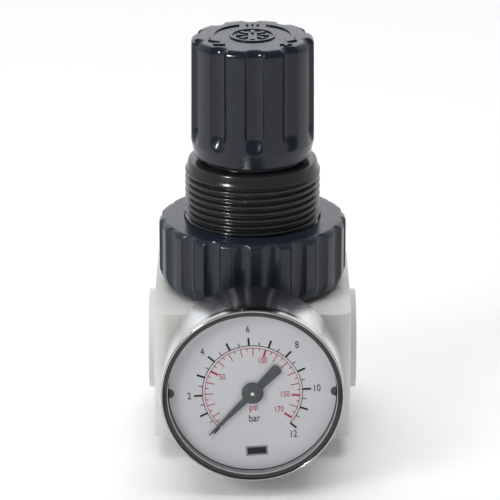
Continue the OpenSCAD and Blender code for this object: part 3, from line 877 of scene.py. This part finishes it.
def gauge_pointer():
    """Pointer with a tapering needle, a flared tail, a domed hub and a pin, at the scale's zero."""
    turn = math.radians(132.5)
    level = DIAL_FRONT + 0.5
    side = [(0.040, 0), (0.030, 0.25), (0.016, 0.50), (0.010, 0.62), (0.004, 0.69)]
    needle = [(-w * R, y * R) for w, y in side] + [(w * R, y * R) for w, y in reversed(side)]
    tail = [(0.0425 * R, -0.10 * R), (0.0585 * R, -0.395 * R), (0.035 * R, -0.413 * R), (0, -0.42 * R),
            (-0.035 * R, -0.413 * R), (-0.0585 * R, -0.395 * R), (-0.0425 * R, -0.10 * R)]
    gauge_flat("pointer_blade", [turned(needle + tail, turn)], level, POINTER, "pointer", 0.4)
    hub = round_corners([(0, level - 0.2, 0), (0.119 * R, level - 0.2, 0), (0.119 * R, level + 0.65, 0.25),
                         (0.06 * R, level + 0.78, 0.3), (0, level + 0.8, 0)], 4)
    verts, faces = lathe(hub, 48)
    make("pointer_hub", [gauge_point(*v) for v in verts], faces, POINTER, "pointer",
         ("gauge_pointer",))
    pin = round_corners([(0, level + 0.7, 0), (0.021 * R, level + 0.7, 0), (0.021 * R, level + 0.95, 0.12),
                         (0, level + 1.0, 0)], 3)
    verts, faces = lathe(pin, 24)
    make("pointer_pin", [gauge_point(*v) for v in verts], faces, PIN, "pointer")


gauge_case()
gauge_window()
dial_scales()
dial_notches()
gauge_pointer()


# ---------------------------------------------------------------- other CAD parts with softened edges

def material_slot(node):
    """The record's material slot of a CAD node."""
    return [part["material_slot"] for part in frame["record"]["subparts"] if part["node"] == node][0]


for node, width in (("bottom_plug", 0.4), ("rear_port_plug", 0.3), ("gauge_socket", 0.3)):
    slot = material_slot(node)
    finish_piece(softened(node + "_soft", node, width, 2), SLOTS[slot], "regulator_body", (node,))


def flattened(name, node):
    """Copy of a springy CAD node, with its own mesh."""
    piece = bpy.data.objects.new(name, nodes[node].data.copy())
    slot = material_slot(node)
    finish_piece(piece, SLOTS[slot], "regulator_body", (node,), 45)
    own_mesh(piece)


flattened("range_coil", "range_spring")
flattened("valve_coil", "valve_spring")
flattened("diaphragm_skin", "diaphragm")


# ---------------------------------------------------------------- floor, light and camera

def floor():
    """Plain pale paper under the object."""
    bpy.ops.mesh.primitive_plane_add(size=8, location=(0, 0, cad_bounds[0][2]))
    plane = bpy.context.object
    plane.name = "floor"
    n = Nodes("floor_paper")
    tone = n.blend(n.noise(3.0, 2.0), (0.94, 0.94, 0.94), (0.96, 0.96, 0.96))
    plane.data.materials.append(n.set(Base_Color=tone, Roughness=0.8, Specular_IOR_Level=0.1))


def area_light(name, place, aim, size, radiance, glossy=True, diffuse=True):
    """Square light panel of a given brightness, facing the aim point."""
    data = bpy.data.lights.new(name, "AREA")
    data.shape = "SQUARE"
    data.size = size
    data.energy = math.pi * size ** 2 * radiance
    lamp = bpy.data.objects.new(name, data)
    bpy.context.scene.collection.objects.link(lamp)
    lamp.location = place
    lamp.rotation_euler = (Vector(aim) - Vector(place)).to_track_quat("-Z", "Y").to_euler()
    lamp.visible_glossy = glossy
    lamp.visible_diffuse = diffuse


def studio_world():
    """Bright low surroundings, dimmer in front and overhead, as in a small light tent."""
    world = bpy.data.worlds.new("studio")
    bpy.context.scene.world = world
    world.use_nodes = True
    tree = world.node_tree
    where = add_node(tree, "ShaderNodeTexCoord").outputs["Generated"]
    way = add_node(tree, "ShaderNodeSeparateXYZ", {0: where}).outputs
    behind = add_node(tree, "ShaderNodeMapRange", {0: way["Y"], 1: -0.9, 2: 0.9, 3: 0.0, 4: 1.0}).outputs[0]
    curve = add_node(tree, "ShaderNodeMath", {0: behind, 1: 2.2}, operation="POWER").outputs[0]
    low = add_node(tree, "ShaderNodeMapRange", {0: curve, 1: 0.0, 2: 1.0, 3: 0.23, 4: 1.4}).outputs[0]
    drop = add_node(tree, "ShaderNodeMapRange", {0: way["Z"], 1: 0.45, 2: 0.8, 3: 0.0, 4: 1.0},
                    interpolation_type="SMOOTHSTEP").outputs[0]
    level = add_node(tree, "ShaderNodeMix", {0: drop, 2: low, 3: 0.28}, data_type="FLOAT").outputs[0]
    back = tree.nodes["Background"]
    back.inputs["Color"].default_value = (0.96, 0.98, 1.0, 1)
    tree.links.new(level, back.inputs["Strength"])


def lights():
    """A hard key that only glints, a soft key from the same side, and a soft light overhead."""
    studio_world()
    middle = (0, -0.01, 0.06)
    area_light("key_glint", (-0.78, -0.73, 0.64), middle, 0.12, 260.0, diffuse=False)
    area_light("key_soft", (-0.78, -0.73, 0.70), middle, 0.5, 6.5, glossy=False)
    area_light("overhead", (0, 0.1, 1.6), middle, 1.6, 2.3, glossy=False)


def camera():
    """Long lens from the front, looking 20 degrees down at the middle of the object."""
    lift, distance = math.radians(20), 0.91
    target = Vector((0, 0, (BASE_Z + 46.4) * MM))
    data = bpy.data.cameras.new("camera")
    data.lens = 230.4
    data.sensor_width = 36
    data.clip_end = 20
    data.shift_x = -0.005
    cam = bpy.data.objects.new("camera", data)
    bpy.context.scene.collection.objects.link(cam)
    cam.location = target + Vector((0, -math.cos(lift), math.sin(lift))) * distance
    cam.rotation_euler = (target - cam.location).to_track_quat("-Z", "Y").to_euler()
    bpy.context.scene.camera = cam


floor()
lights()
camera()
bpy.context.scene.view_settings.view_transform = "Standard"
